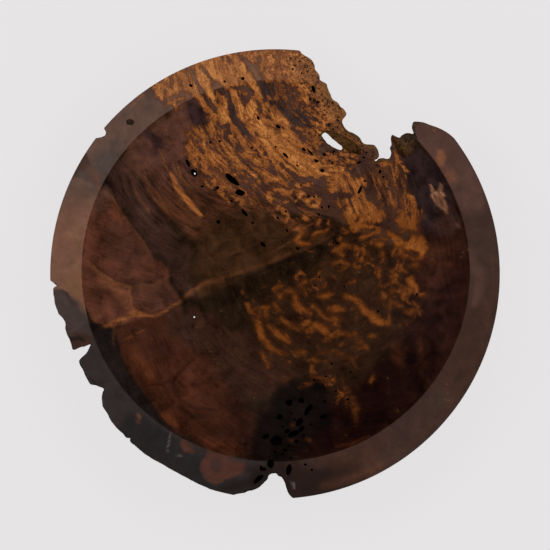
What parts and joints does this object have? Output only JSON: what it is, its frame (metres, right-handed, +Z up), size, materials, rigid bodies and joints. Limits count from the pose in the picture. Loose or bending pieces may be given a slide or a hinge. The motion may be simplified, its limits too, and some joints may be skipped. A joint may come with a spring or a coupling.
{
  "type": "walnut burl dish",
  "caption": "Wide-rimmed round dish turned from dark walnut burl, with the burl's own voids and bark pits left open in its rim and hollow.",
  "frame": {"origin": "centre of the flat foot that the dish stands on, on the turning axis", "axes": "+Z up along the turning axis, out of the hollow; +Y towards the picture's top edge and +X towards its right, so the wide bite in the rim lies at +X +Y"},
  "size_m": [0.45, 0.4492, 0.071],
  "materials": {
    "walnut_burl": "oiled burl, satin in the hollow and drier on the rim, dark red-brown to black with amber figure"
  },
  "bodies": {
    "root": {"burl_dish": "walnut_burl"}
  },
  "joints": []
}
